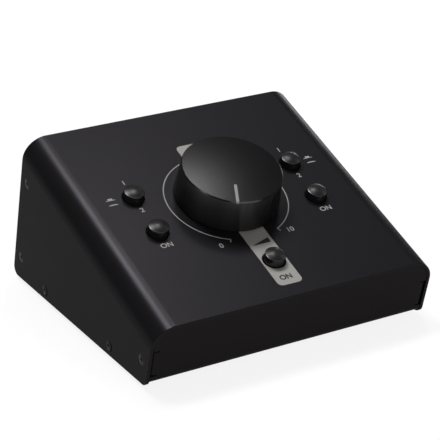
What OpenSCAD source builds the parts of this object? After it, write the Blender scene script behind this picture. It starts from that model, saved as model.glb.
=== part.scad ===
// Studio monitor controller: a passive desktop box that sets the level of two pairs of
// loudspeakers and chooses between two sources. Two bent sheets make the wedge-shaped housing:
// a cover (top and side walls) over a tray (front, floor and rear).
// Millimetres, +Z up, +Y to the rear. The origin is on the table, under the middle of the box.

/* [Housing] */
// Width over the side walls
body_w = 150; // [140:1:180]
// Length of the sloping top, from its front edge to its rear edge
top_len = 137; // [132:1:160]
// Height of the front face, measured along it
front_len = 32; // [30:0.5:40]
// Slope of the top, in degrees
top_slope = 20; // [18:0.5:24]
// Forward lean of the front and rear faces, in degrees
face_lean = 15; // [12:0.5:16]
// Thickness of both steel sheets
sheet = 1.6; // [1.2:0.1:2]
// Outer radius of the bends between the top and the side walls
bend_r = 11.5; // [9:0.5:13]
// Radius of the side walls' lower corners
wall_corner_r = 4; // [2:0.5:6]
// Height of the side walls' lower edge above the table
foot_clear = 2; // [1.5:0.5:4]

/* [Tray] */
// Height of the floor's underside above the side walls' lower edge
floor_rise = 1.2; // [0.6:0.1:2]
// Outer radius of the bends between the front face, the floor and the rear face
tray_bend_r = 3.5; // [3:0.1:4]
// Radius inside the bends of the flanges
flange_inner_r = 0.5; // [0.3:0.1:1.5]
// Depth of the front and rear faces behind the cover's edges
face_inset = 0.1; // [0:0.05:0.5]
// Gap between the tray and a side wall
side_gap = 0.3; // [0.25:0.05:0.8]
// Gap between the tray's upper edges and the top
top_gap = 0.1; // [0.05:0.05:0.3]
// Depth of the flanges behind the front and rear faces
face_flange = 11; // [10:0.5:14]
// Height of the flanges beside the floor
floor_flange = 9; // [8:0.5:12]
// Height on the face at which the front and rear flanges begin
flange_start = 5.7; // [5:0.1:7]
// Height on the front face at which its flanges end
front_flange_end = 19; // [17:0.5:19.5]
// Height of the relief notch at each end of a flange
notch_h = 0.6; // [0.4:0.1:1]
// Length of a relief notch, in from the tray's edge
notch_len = 3.2; // [3:0.1:4.5]
// Room between neighbouring flanges in the tray's corners
flange_room = 0.6; // [0.4:0.1:2]

/* [Side screws] */
// Radius of a screw's shank
screw_r = 1.5; // [1.25:0.05:1.75]
// Radius of a screw's countersunk head
screw_head_r = 2.75; // [2.4:0.05:2.8]
// Length of a screw
screw_len = 6; // [5:0.5:8]
// Height on the face of the front screws
front_screw_t = 11; // [10:0.5:12]
// Distance of the front screws behind the front face
front_screw_in = 6.4; // [6:0.1:7]
// Heights on the face of the rear screws
rear_screw_t = [14.5, 59.2];
// Distance of the rear screws in front of the rear face
rear_screw_in = 7; // [6.5:0.1:7.5]
// Height of the floor screws above the side walls' lower edge
floor_screw_h = 4.9; // [4.8:0.1:5.5]
// Distance between the two floor screws of a side
floor_screw_pitch = 68.5; // [50:0.5:90]
// Distance of that pair's middle in front of the floor's middle
floor_screw_ahead = 1.3; // [0:0.1:3]

/* [Volume knob] */
// Distance of the knob's axis up the slope from the front edge
knob_v = 70; // [66:0.2:74]
// Radius of the knob at its base
knob_base_r = 25.5; // [24:0.1:28]
// Radius of the knob at its top
knob_top_r = 24.3; // [22:0.1:26]
// Height of the knob from base to upper edge
knob_h = 17; // [15:0.5:20]
// Gap between the knob's base and the top
knob_gap = 0.5; // [0.3:0.1:2]
// Rise of the domed top over the upper edge
knob_dome = 0.6; // [0.3:0.1:1.5]
// Chamfer of the upper edge
knob_chamfer = 0.5; // [0.3:0.1:0.8]
// Thickness of the knob's rim and top
knob_wall = 2.6; // [2:0.1:3]
// Radius of the hub inside the knob
hub_r = 5.6; // [5:0.1:7]
// Width of the pointer line
pointer_w = 1.4; // [0.8:0.1:1.6]
// Depth of the pointer line's groove below the top's upper edge
pointer_depth = 1.2; // [0.8:0.1:1.6]
// Radius at which the pointer line begins
pointer_in_r = 12; // [8:0.5:16]
// Angle of the pointer from the front, at rest
pointer_angle = 23; // [20:1:30]

/* [Potentiometer] */
// Radius of the shaft
shaft_r = 3; // [2.9:0.05:3.1]
// Height of the shaft's end above the top
shaft_top = 15; // [13:0.5:15]
// Radius of the bushing's thread
bushing_r = 4; // [3.8:0.1:4.5]
// Height of the bushing's end above the top
bushing_top = 6; // [5:0.5:6.5]
// Radius of the potentiometer's body
pot_r = 8.5; // [8:0.1:10]
// Distance between nut flats
pot_nut_af = 11; // [10.5:0.5:12]
// Turn between the stops
pot_travel = 310; // [300:1:310]

/* [Push buttons] */
// Distance of the four side buttons from the middle
button_u = 43.2; // [41:0.1:46]
// Distance of the selector buttons up the slope
selector_v = 82.8; // [80:0.2:86]
// Distance of the dim and mute buttons up the slope
switch_v = 57.5; // [54:0.2:60]
// Distance of the mono button up the slope
mono_v = 23.6; // [22:0.2:28]
// Radius of a cap at its foot
cap_r = 5.25; // [4.8:0.05:5.6]
// Radius of a cap at its upper edge
cap_top_r = 4.95; // [4.6:0.05:5.2]
// Height of a cap over the top
cap_h = 3.9; // [3.5:0.1:5]
// Rise of a cap's dome over its upper edge
cap_dome = 0.75; // [0.3:0.05:1]
// Radius of a cap's upper edge
cap_edge_r = 0.35; // [0.2:0.05:1]
// Travel of a button
button_travel = 3; // [2:0.1:3]
// Side of a switch body
switch_w = 8.5; // [8:0.1:10]
// Side of a plunger
plunger_w = 3.3; // [3:0.1:3.5]

/* [Boards] */
// Space between the top sheet and the control board
board_gap = 12; // [12:0.5:14]
// Thickness of the boards
board_t = 1.6; // [1.2:0.1:2]
// Width of the control board
board_w = 112; // [108:1:120]
// Distance of the control board's front edge up the slope
board_v0 = 14; // [12:0.5:15]
// Gap between the control board's rear edge and the jack board
board_room = 6.2; // [4:0.1:8]
// Distance of the standoffs from the board's edges
standoff_in = 5; // [4.5:0.5:6]
// Radius of a standoff
standoff_r = 3; // [2.8:0.1:3.5]

/* [Jacks] */
// Radius of a jack's bore
jack_bore_r = 3.2; // [3.18:0.01:3.25]
// Depth of a jack's bore
jack_bore_len = 29.6; // [28:0.1:30]
// Radius of a jack's threaded nose
jack_nose_r = 4.75; // [4.5:0.05:5]
// Length of the nose outside the rear face
jack_nose_len = 4.4; // [4:0.1:5]
// Side of a jack's body
jack_w = 15.5; // [14:0.5:16]
// Length of a jack's body behind the rear sheet
jack_body_len = 26; // [26:0.5:28]
// Distance of the outermost jacks from the side walls' outer faces
jack_side = 30; // [28:0.5:40]
// Heights of the two rows on the rear face
jack_rows = [22, 50];
// Distance between a jack nut's flats
jack_nut_af = 12.7; // [12:0.1:14]

/* [Feet] */
// Radius of a rubber foot
foot_r = 6.5; // [5:0.5:8]
// Distance of the feet from the side walls' outer faces
foot_side = 19; // [15:1:25]
// Distance of the feet from the housing's lower corners, front and rear
foot_in = 18; // [15:1:30]

/* [Fits] */
// Radial clearance of a running shaft
run_fit = 0.05; // [0.02:0.01:0.08]
// Radial clearance of a screw, thread or seat that doesn't move
seat_fit = 0.05; // [0.02:0.01:0.1]
// Radial room of a bushing or jack in its hole through a sheet
hole_room = 0.2; // [0.1:0.05:0.3]
// Gap between a button and what it slides through
slide_gap = 0.3; // [0.25:0.05:0.4]

/* [Hidden] */
BUTTONS = ["input", "dim", "mute", "monitor", "mono"];
JACKS = ["input_a_left", "input_a_right", "input_b_left", "input_b_right",
         "monitor_a_left", "monitor_a_right", "monitor_b_left", "monitor_b_right"];
$fn = 96;
// A little more than nothing, for cutters that pass a face
over = 0.5;

// ---- Side view of the housing. Points are [y, z] from the front face's lower corner.
lean_s = sin(face_lean);
lean_c = cos(face_lean);
up_face = [-lean_s, lean_c];
front_top = front_len * up_face;
rear_top = front_top + top_len * [cos(top_slope), sin(top_slope)];
floor_d = rear_top[0] + rear_top[1] * lean_s / lean_c;
rear_len = rear_top[1] / lean_c;

// Lower corners of an outline set in by a from the faces and up by b from the walls' edge
function front_foot(a, b) = [(a - b * lean_s) / lean_c, b];
function rear_foot(a, b) = [floor_d - (a + b * lean_s) / lean_c, b];
// Upper corners of an outline set in by a from the faces and by h below the top
skew = top_slope - face_lean;
function below_top(p, along, h) = p + along * [cos(top_slope), sin(top_slope)]
                                    - h * [-sin(top_slope), cos(top_slope)];
function front_head(a, h) = below_top(front_top, (a - h * sin(skew)) / cos(skew), h);
function rear_head(a, h) = below_top(rear_top, -(a + h * sin(skew)) / cos(skew), h);

// The box is centred on the origin: its foremost point is the top's front edge, and its
// rearmost point is a lower wall corner or the rim of a jack in the lower row.
corner_reach = floor_d + wall_corner_r * (1 - (1 + lean_s) / lean_c);
jack_reach = floor_d - (jack_rows[0] - jack_nose_r) * lean_s + jack_nose_len * lean_c;
shift_y = -(front_top[0] + max(corner_reach, jack_reach)) / 2;
floor_z = foot_clear + floor_rise;

// ---- Frames: x across, y up the surface, z outwards, for each sheet face
module on_top(u, v, h = 0) {
    translate([0, shift_y + front_top[0], foot_clear + front_top[1]])
        rotate([top_slope, 0, 0]) translate([u, v, h]) children();
}
module on_front(x, t, out = 0) {
    translate([0, shift_y, foot_clear]) rotate([90 + face_lean, 0, 0])
        translate([x, t, out]) children();
}
module on_rear(x, t, out = 0) {
    translate([0, shift_y + floor_d, foot_clear]) rotate([90 - face_lean, 0, 180])
        translate([x, t, out]) children();
}
module on_side_view() { // draws a side view's [y, z] outline as a slab across the housing
    translate([0, shift_y, foot_clear]) rotate([90, 0, 90]) children();
}
module both_sides() {
    children();
    mirror([1, 0, 0]) children();
}
module across(w) { // slab of width w about the middle plane
    on_side_view() translate([0, 0, -w / 2]) linear_extrude(w) children();
}

// Side outline with round lower corners, set in from the faces, up from the edge, below the top.
// The corner circles are a hair small, so that they cross the chamfers instead of grazing the edges.
corner_ease = 0.01;
module side_outline(a, b, r, h) {
    front_cut = r / tan((90 + face_lean) / 2);
    rear_cut = r / tan((90 - face_lean) / 2);
    f = front_foot(a, b);
    k = rear_foot(a, b);
    polygon([f + [front_cut, 0], k - [rear_cut, 0], k + rear_cut * up_face,
             rear_head(a, h), front_head(a, h), f + front_cut * up_face]);
    translate([f[0] + front_cut, b + r]) circle(r - corner_ease);
    translate([k[0] - rear_cut, b + r]) circle(r - corner_ease);
}

// Section square to the slope: side walls and top with round upper corners
section_h = 120;
module cross_section(side, top, r) {
    half = body_w / 2 - side;
    translate([-half, -section_h]) square([2 * half, section_h - top - r]);
    translate([r - half, -top - r]) square([2 * (half - r), r]);
    for (s = [-1, 1]) translate([s * (half - r), -top - r]) circle(r);
}
slope_over = 20;
module along_slope() {
    on_top(0, top_len + slope_over) rotate([90, 0, 0])
        linear_extrude(top_len + 2 * slope_over) children();
}

// ---- Places of the ten side screws, as [y, z] in the side view
floor_screw_y = [for (s = [-1, 1]) floor_d / 2 + s * floor_screw_pitch / 2 - floor_screw_ahead];
screw_places = [
    front_screw_t * up_face + front_screw_in * [lean_c, lean_s],
    [floor_screw_y[0], floor_screw_h],
    [floor_screw_y[1], floor_screw_h],
    [floor_d, 0] + rear_screw_t[0] * up_face - rear_screw_in * [lean_c, lean_s],
    [floor_d, 0] + rear_screw_t[1] * up_face - rear_screw_in * [lean_c, lean_s]
];
module at_side_screws() { // z points out of the side wall, 0 on its outer face
    both_sides() for (p = screw_places)
        translate([body_w / 2, shift_y + p[0], foot_clear + p[1]]) rotate([0, 90, 0]) children();
}

// ================= Housing =================

// Bushing and cap holes through the top
bushing_hole_r = bushing_r + hole_room;
cap_hole_r = cap_r + slide_gap;
module top_holes() {
    on_top(0, knob_v, -sheet - over) cylinder(h = sheet + 2 * over, r = bushing_hole_r);
    for (b = BUTTONS) on_top(button_at(b)[0], button_at(b)[1], -sheet - over)
        cylinder(h = sheet + 2 * over, r = cap_hole_r);
}

// Countersink that a screw head sits in, flush with the wall
head_depth = screw_head_r - screw_r;
module top_cover() color("#2b2a2b") difference() {
    intersection() {
        along_slope() difference() {
            cross_section(0, 0, bend_r);
            cross_section(sheet, sheet, bend_r - sheet);
        }
        across(body_w + 2 * over) side_outline(0, 0, wall_corner_r, 0);
    }
    top_holes();
    at_side_screws() {
        translate([0, 0, -sheet - over]) cylinder(h = sheet + over, r = screw_r + seat_fit);
        translate([0, 0, -head_depth]) cylinder(h = head_depth + over,
            r1 = screw_r + seat_fit, r2 = screw_head_r + seat_fit + over);
    }
}

// The tray's half width, and one L-shaped flange along an edge, seen along the face. Its lap
// into the flat sheet is longer than what a notch leaves of it.
tray_half = body_w / 2 - sheet - side_gap;
flange_r = flange_inner_r + sheet;
flange_x0 = tray_half - flange_r;
module flange_section(reach) {
    lap = notch_len;
    difference() {
        union() {
            translate([flange_x0 - lap, -reach]) square([flange_r + lap, reach - flange_r]);
            translate([flange_x0 - lap, -flange_r]) square([lap, flange_r]);
            translate([flange_x0, -flange_r]) circle(flange_r);
        }
        translate([flange_x0 - lap - over, -reach - over])
            square([flange_r + lap + over - sheet, reach + over - flange_r]);
        translate([flange_x0 - lap - over, -flange_r]) square([lap + over, flange_inner_r]);
        translate([flange_x0, -flange_r]) circle(flange_inner_r);
    }
}
module flanges(t0, t1, reach) { // on a face's frame, with that face at z = 0
    both_sides() translate([0, t1, 0]) rotate([90, 0, 0])
        linear_extrude(t1 - t0) flange_section(reach);
}
module flange_gaps(t0, t1) { // the flat sheet that a flange replaces, and its two relief notches
    both_sides() {
        translate([flange_x0, t0, -sheet - over]) cube([flange_r + over, t1 - t0, sheet + 2 * over]);
        for (t = [t0 - notch_h, t1]) translate([tray_half - notch_len, t, -sheet - over])
            cube([notch_len + over, notch_h, sheet + 2 * over]);
    }
}

// Floor frame: x across, y to the rear, z down, 0 on the underside
module on_floor() {
    translate([0, shift_y, floor_z]) rotate([180, 0, 0]) mirror([0, 1, 0]) children();
}
flange_stop = 3;
rear_flange_end = rear_len - bend_r - flange_stop;
floor_flange_y = [face_flange * lean_c,
    floor_d - (face_flange + (floor_rise + floor_flange) * lean_s) / lean_c - flange_room];
jack_hole_r = jack_nose_r + hole_room;

module chassis_tray() color("#1f1e20") difference() {
    union() {
        difference() {
            intersection() {
                across(2 * tray_half) difference() {
                    side_outline(face_inset, floor_rise, tray_bend_r, sheet + top_gap);
                    side_outline(face_inset + sheet, floor_rise + sheet, tray_bend_r - sheet, 0);
                }
                along_slope() cross_section(sheet + side_gap, sheet + top_gap,
                                            bend_r - sheet - side_gap);
            }
            on_front(0, 0, -face_inset) flange_gaps(flange_start, front_flange_end);
            on_rear(0, 0, -face_inset) flange_gaps(flange_start, rear_flange_end);
            on_floor() flange_gaps(floor_flange_y[0], floor_flange_y[1]);
        }
        on_front(0, 0, -face_inset) flanges(flange_start, front_flange_end, face_flange);
        on_rear(0, 0, -face_inset) flanges(flange_start, rear_flange_end, face_flange);
        on_floor() flanges(floor_flange_y[0], floor_flange_y[1], floor_flange);
    }
    at_side_screws() translate([0, 0, -screw_len - sheet])
        cylinder(h = screw_len, r = screw_r + seat_fit);
    at_jacks() translate([0, 0, -tray_bend_r]) cylinder(h = tray_bend_r + over, r = jack_hole_r);
}

// Countersunk screws with a cross recess
recess_w = 0.6;
module side_screws() color("#8a8886") at_side_screws() difference() {
    union() {
        translate([0, 0, -screw_len]) cylinder(h = screw_len, r = screw_r);
        translate([0, 0, -head_depth]) cylinder(h = head_depth, r1 = screw_r, r2 = screw_head_r);
    }
    for (a = [45, 135]) rotate(a) translate([-screw_r, -recess_w / 2, -1])
        cube([2 * screw_r, recess_w, 1 + over]);
}

// Round rubber feet glued under the floor, with a small bevel on the table side
foot_bevel = 0.6;
foot_x = body_w / 2 - foot_side;
module rubber_feet() color("#151515")
    for (x = [-foot_x, foot_x], y = [foot_in, floor_d - foot_in]) translate([x, shift_y + y, 0]) {
        cylinder(h = foot_bevel, r1 = foot_r - foot_bevel, r2 = foot_r);
        translate([0, 0, foot_bevel]) cylinder(h = floor_z - foot_bevel, r = foot_r);
    }

// ================= Volume knob =================

knob_z0 = knob_gap;
knob_z1 = knob_gap + knob_h;
rim_r = knob_top_r - knob_chamfer;
dome_r = (rim_r * rim_r + knob_dome * knob_dome) / (2 * knob_dome);
hub_lift = 0.9;
hub_z0 = bushing_top + hub_lift;

// Solid of revolution: tapered side, chamfered upper edge, domed top
dome_steps = 8;
dome_half = asin(rim_r / dome_r);
function dome_point(a) = [dome_r * sin(a), knob_z1 + knob_dome - dome_r * (1 - cos(a))];
module knob_blank() rotate_extrude($fn = 180) polygon(concat(
    [[0, knob_z0], [knob_base_r - knob_chamfer, knob_z0], [knob_base_r, knob_z0 + knob_chamfer],
     [knob_top_r, knob_z1 - knob_chamfer]],
    [for (i = [dome_steps:-1:0]) dome_point(dome_half * i / dome_steps)]));
// Groove for the pointer: from its inner end out through the rim
module pointer_slot() rotate(-90 - pointer_angle)
    translate([pointer_in_r, -pointer_w / 2, knob_z1 - pointer_depth])
        cube([knob_top_r, pointer_w, pointer_depth + 3 * knob_dome]);

flat_depth = 1.5;
flat_z0 = bushing_top + hub_lift / 2;
module d_shaft(r, flat, z0, z1) difference() {
    translate([0, 0, z0]) cylinder(h = z1 - z0, r = r);
    translate([-2 * r, flat, flat_z0]) cube([4 * r, r, z1 - z0]);
}

rib_w = 1.2;
rib_z0 = hub_z0 + 2;
module volume_knob() color("#1c1b1d") on_top(0, knob_v) difference() {
    knob_blank();
    pointer_slot();
    difference() {
        translate([0, 0, knob_z0 - over]) cylinder(h = knob_h - knob_wall + over,
            r1 = knob_base_r - knob_wall, r2 = knob_top_r - knob_wall);
        translate([0, 0, hub_z0]) cylinder(h = knob_h, r = hub_r);
        for (a = [0:60:300]) rotate(a) translate([0, -rib_w / 2, rib_z0])
            cube([knob_base_r, rib_w, knob_h]);
    }
    rotate(-pointer_angle)
        d_shaft(shaft_r + seat_fit, shaft_r - flat_depth + seat_fit, knob_z0, shaft_top + seat_fit);
}
module knob_pointer() color("#e6e6e4") on_top(0, knob_v) intersection() {
    knob_blank();
    pointer_slot();
}

// ================= Potentiometer =================

pot_seat = -sheet;
flange_t = 1;
pot_z1 = pot_seat - flange_t;
pot_z0 = -sheet - board_gap;
pot_wall = 1;
cavity_r = pot_r - pot_wall;
cavity_z = [pot_z0 + pot_wall, pot_z1 - pot_wall];
rotor_t = 1.2;
rotor_r = cavity_r - 0.8;
track_t = 0.8;
wiper_gap = 0.3;
gang_pitch = 3.6;
rotor_z = [for (i = [0, 1]) cavity_z[0] + wiper_gap + track_t + wiper_gap + i * gang_pitch];
// The stop: a lug on the wall and a tab on the shaft fill what the travel leaves of a turn
lug_r = 4.5;
tab_r = 6;
stop_play = 3;
tab_half = 10;
tab_t = 1.4;
tab_room = 0.4;
lug_half = (360 - pot_travel) / 2 - tab_half - stop_play;
stop_z = [cavity_z[1] - tab_room - tab_t, cavity_z[1] - tab_room];

module sector(r, half, z0, z1) { // a slice of a disc about the -y direction
    rotate(-90 - half) translate([0, 0, z0]) rotate_extrude(angle = 2 * half) square([r, z1 - z0]);
}
module pot_body() color("#9a9c9c") on_top(0, knob_v) difference() {
    translate([0, 0, pot_z0]) cylinder(h = pot_z1 - pot_z0, r = pot_r);
    difference() {
        translate([0, 0, cavity_z[0]]) cylinder(h = cavity_z[1] - cavity_z[0], r = cavity_r);
        difference() {
            sector(pot_r, lug_half, stop_z[0], cavity_z[1] + over);
            translate([0, 0, cavity_z[0]]) cylinder(h = board_gap, r = lug_r);
        }
    }
    translate([0, 0, cavity_z[1] - over]) cylinder(h = pot_wall + 2 * over, r = shaft_r + run_fit);
}
module pot_tracks() color("#3a2d22") on_top(0, knob_v) for (z = rotor_z) difference() {
    translate([0, 0, z - wiper_gap - track_t]) cylinder(h = track_t, r = cavity_r - seat_fit);
    translate([0, 0, z - wiper_gap - track_t - over])
        cylinder(h = track_t + 2 * over, r = shaft_r + wiper_gap);
}
module pot_rotors() color("#d8d4c8") on_top(0, knob_v) {
    for (z = rotor_z) difference() {
        translate([0, 0, z]) cylinder(h = rotor_t, r = rotor_r);
        translate([0, 0, z - over]) cylinder(h = rotor_t + 2 * over, r = shaft_r + seat_fit);
    }
    rotate(-(360 - pot_travel) / 2) difference() {
        sector(tab_r, tab_half, stop_z[0], stop_z[1]);
        translate([0, 0, stop_z[0] - over])
            cylinder(h = board_gap, r = shaft_r + seat_fit);
    }
}
module pot_shaft() color("#b9b9b4") on_top(0, knob_v) rotate(-pointer_angle)
    d_shaft(shaft_r, shaft_r - flat_depth, cavity_z[0] + wiper_gap, shaft_top);

flange_lip = 2;
module pot_bushing() color("#b08d4c") on_top(0, knob_v) difference() {
    union() {
        translate([0, 0, pot_seat]) cylinder(h = bushing_top - pot_seat, r = bushing_r);
        translate([0, 0, pot_z1]) cylinder(h = flange_t, r = bushing_r + flange_lip);
    }
    translate([0, 0, pot_z1 - over])
        cylinder(h = bushing_top - pot_z1 + 2 * over, r = shaft_r + run_fit);
}
washer_t = 0.5;
washer_lip = 0.2;
module pot_washer() color("#c8c8c4") on_top(0, knob_v) difference() {
    cylinder(h = washer_t, r = pot_nut_af / sqrt(3) + washer_lip);
    translate([0, 0, -over]) cylinder(h = washer_t + 2 * over, r = bushing_hole_r);
}
nut_t = 2;
module nut(af, r, h) difference() {
    cylinder(h = h, r = af / sqrt(3), $fn = 6);
    translate([0, 0, -over]) cylinder(h = h + 2 * over, r = r);
}
module pot_nut() color("#c2c2bd") on_top(0, knob_v, washer_t) nut(pot_nut_af, bushing_r + seat_fit, nut_t);

// ================= Push buttons =================

// Place of each button on the top: across and up the slope
function button_at(name) =
    name == "input" ? [-button_u, selector_v] :
    name == "monitor" ? [button_u, selector_v] :
    name == "dim" ? [-button_u, switch_v] :
    name == "mute" ? [button_u, switch_v] : [0, mono_v];
module at_button(name) on_top(button_at(name)[0], button_at(name)[1]) children();

cap_skirt = 1;
cap_foot = -sheet - cap_skirt;
cap_wall = 1.2;
cap_top_t = 1.5;
cap_hollow = cap_h - cap_top_t - cap_foot + over;
socket_top = 1.2;
switch_z0 = -sheet - board_gap;
cap_rest_gap = 0.5;
switch_z1 = cap_foot - button_travel - cap_rest_gap;
switch_wall = 1;
switch_floor = 0.7;
chamber_r = 3;
collar_t = 0.8;
collar_z1 = switch_z1 - switch_wall - slide_gap;
chamber_z0 = switch_z0 + switch_floor;
cap_rim = cap_top_r - cap_edge_r;
cap_dome_r = (cap_rim * cap_rim + cap_dome * cap_dome) / (2 * cap_dome);

// Moulded cap: round edge, shallow dome, and a socket for the plunger
module button_cap(name) color("#232224") at_button(name) difference() {
    rotate_extrude() intersection() {
        union() {
            polygon([[0, cap_foot], [cap_r, cap_foot], [cap_r, 0],
                     [cap_top_r, cap_h - cap_edge_r], [cap_rim, cap_h - cap_edge_r],
                     [cap_rim, cap_h + 2 * cap_dome], [0, cap_h + 2 * cap_dome]]);
            translate([cap_rim, cap_h - cap_edge_r]) circle(cap_edge_r);
        }
        translate([0, cap_h + cap_dome - cap_dome_r]) circle(cap_dome_r, $fn = 360);
    }
    translate([0, 0, (cap_foot + socket_top) / 2])
        cube([plunger_w + 2 * seat_fit, plunger_w + 2 * seat_fit,
              socket_top - cap_foot + seat_fit], center = true);
    translate([0, 0, cap_foot - over]) difference() {
        cylinder(h = cap_hollow, r = cap_r - cap_wall);
        cylinder(h = cap_hollow + over, r = plunger_w);
    }
}
// Square plunger with a round collar that the spring lifts against the switch's lid
module plunger(name) color("#e9e6dc") at_button(name) {
    translate([-plunger_w / 2, -plunger_w / 2, collar_z1 - collar_t / 2])
        cube([plunger_w, plunger_w, socket_top - collar_z1 + collar_t / 2]);
    translate([0, 0, collar_z1 - collar_t]) cylinder(h = collar_t, r = chamber_r - slide_gap);
}
// Switch body: square box with a round chamber and a square hole in its lid
module switch_body(name) color("#3c3f45") at_button(name) difference() {
    translate([-switch_w / 2, -switch_w / 2, switch_z0])
        cube([switch_w, switch_w, switch_z1 - switch_z0]);
    translate([0, 0, chamber_z0])
        cylinder(h = switch_z1 - switch_wall - chamber_z0, r = chamber_r);
    translate([-plunger_w / 2 - slide_gap, -plunger_w / 2 - slide_gap, switch_z1 - switch_wall - over])
        cube([plunger_w + 2 * slide_gap, plunger_w + 2 * slide_gap, switch_wall + 2 * over]);
}

// Return spring: one unbroken round wire, wound at an even rate between floor and collar
spring_r = 1.9;
wire_r = 0.2;
spring_turns = 3.5;
turn_rings = 8;
wire_sides = 6;
spring_seat = 0.05;
spring_slack = 0.15;
spring_z0 = chamber_z0 + wire_r + spring_seat;
spring_z1 = collar_z1 - collar_t - wire_r - spring_slack;
spring_pitch = (spring_z1 - spring_z0) / spring_turns;
spring_rings = spring_turns * turn_rings;
function spring_point(i, k) = let (
    a = 360 * i / turn_rings,
    w = 360 * k / wire_sides,
    r = spring_r + wire_r * cos(w))
    [r * cos(a), r * sin(a), spring_z0 + spring_pitch * i / turn_rings + wire_r * sin(w)];
spring_gap = spring_pitch - 2 * wire_r;
echo(spring_least_gap_mm = spring_gap);
module spring(name) color("#cfcfcb") at_button(name) polyhedron(
    points = [for (i = [0:spring_rings], k = [0:wire_sides - 1]) spring_point(i, k)],
    faces = concat(
        [[for (k = [0:wire_sides - 1]) k]],
        [for (i = [0:spring_rings - 1], k = [0:wire_sides - 1])
            let (a = i * wire_sides + k, b = i * wire_sides + (k + 1) % wire_sides)
            [a, a + wire_sides, b]],
        [for (i = [0:spring_rings - 1], k = [0:wire_sides - 1])
            let (a = i * wire_sides + k, b = i * wire_sides + (k + 1) % wire_sides)
            [b, a + wire_sides, b + wire_sides]],
        [[for (k = [wire_sides - 1:-1:0]) spring_rings * wire_sides + k]]));

// ================= Control board =================

board_z1 = -sheet - board_gap;
board_z0 = board_z1 - board_t;
jack_seat = -face_inset - sheet;
jack_board_z1 = jack_seat - jack_body_len;
// The board's rear edge lies square to the top, its lower corner nearest the jack board
board_v1 = (floor_d * lean_c + jack_board_z1 - board_t - board_room + board_z0 * sin(skew))
           / cos(skew);
standoff_u = board_w / 2 - standoff_in;
module at_standoffs() for (u = [-standoff_u, standoff_u],
    v = [board_v0 + standoff_in, board_v1 - standoff_in]) on_top(u, v) children();
module control_board() color("#2f5a3c") difference() {
    on_top(-board_w / 2, board_v0, board_z0) cube([board_w, board_v1 - board_v0, board_t]);
    at_standoffs() translate([0, 0, board_z0 - over])
        cylinder(h = board_t + 2 * over, r = screw_r + hole_room);
}
standoff_bore = 7;
module board_standoffs() color("#b5b5b0") at_standoffs() difference() {
    translate([0, 0, board_z1]) cylinder(h = board_gap, r = standoff_r);
    translate([0, 0, board_z1 - over]) cylinder(h = standoff_bore + over, r = screw_r + seat_fit);
}
pan_h = 2;
module board_screws() color("#8d8d88") at_standoffs() difference() {
    union() {
        translate([0, 0, board_z0 - pan_h]) cylinder(h = pan_h, r = screw_head_r);
        translate([0, 0, board_z0 - over]) cylinder(h = board_t + standoff_bore, r = screw_r);
    }
    for (a = [0, 90]) rotate(a) translate([-screw_r, -recess_w / 2, board_z0 - pan_h - over])
        cube([2 * screw_r, recess_w, 1 + over]);
}

// ================= Jacks =================

jack_pitch = (body_w - 2 * jack_side) / 3;
jack_xs = [for (i = [-1.5:1:1.5]) i * jack_pitch];
module at_jacks() for (t = jack_rows, x = jack_xs) on_rear(x, t) children();
// Inputs are the lower row and outputs the upper row, in pairs from the left seen from behind
module at_jack(name) {
    i = [for (k = [0:len(JACKS) - 1]) if (JACKS[k] == name) k][0];
    on_rear(jack_xs[i % 4], jack_rows[floor(i / 4)]) children();
}
nose_lead = 0.4;
body_bevel = 1.5;
module jack(name) color("#2a2a2c") at_jack(name) difference() {
    union() {
        translate([0, 0, jack_seat - over])
            cylinder(h = jack_nose_len - jack_seat + over, r = jack_nose_r);
        translate([0, 0, jack_seat - jack_body_len]) linear_extrude(jack_body_len)
            polygon([for (s = [[1, 1], [-1, 1], [-1, -1], [1, -1]], e = [0, 1])
                let (h = jack_w / 2, k = (s[0] * s[1] > 0) == (e == 0))
                [s[0] * (k ? h : h - body_bevel), s[1] * (k ? h - body_bevel : h)]]);
    }
    translate([0, 0, jack_nose_len - nose_lead - jack_bore_len])
        cylinder(h = jack_bore_len + nose_lead + over, r = jack_bore_r);
    translate([0, 0, jack_nose_len - nose_lead])
        cylinder(h = nose_lead + over, r1 = jack_bore_r, r2 = jack_bore_r + nose_lead + over);
}
jack_washer_t = 0.6;
jack_nut_t = 2.4;
module jack_washers() color("#b9bab8") at_jacks() translate([0, 0, -face_inset]) difference() {
    cylinder(h = jack_washer_t, r = jack_nut_af / sqrt(3) + washer_lip);
    translate([0, 0, -over]) cylinder(h = jack_washer_t + 2 * over, r = jack_hole_r);
}
module jack_nuts() color("#c4c5c3") at_jacks() translate([0, 0, jack_washer_t - face_inset])
    nut(jack_nut_af, jack_nose_r + seat_fit, jack_nut_t);

jack_board_edge = [8, 1.5];
jack_board_w = 3 * jack_pitch + jack_w + 2 * jack_board_edge[0];
jack_board_t = [jack_rows[0] - jack_w / 2 - jack_board_edge[1],
                jack_rows[1] + jack_w / 2 + jack_board_edge[1]];
module jack_board() color("#2f5a3c")
    on_rear(-jack_board_w / 2, jack_board_t[0], jack_board_z1 - board_t)
        cube([jack_board_w, jack_board_t[1] - jack_board_t[0], board_t]);

// ================= Ribbon between the boards =================

// Sockets: one under the control board's rear part, one on the jack board's front
socket_size = [20, 6, 6];
socket_in = 8;
control_socket_v = board_v1 - socket_in;
jack_socket_t = 38;
module socket_box() translate([-socket_size[0] / 2, -socket_size[1] / 2, 0]) cube(socket_size);
module ribbon_sockets() color("#1d1d1f") {
    on_top(0, control_socket_v, board_z0) rotate([180, 0, 0]) socket_box();
    on_rear(0, jack_socket_t, jack_board_z1 - board_t) rotate([180, 0, 0]) socket_box();
}
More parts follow.
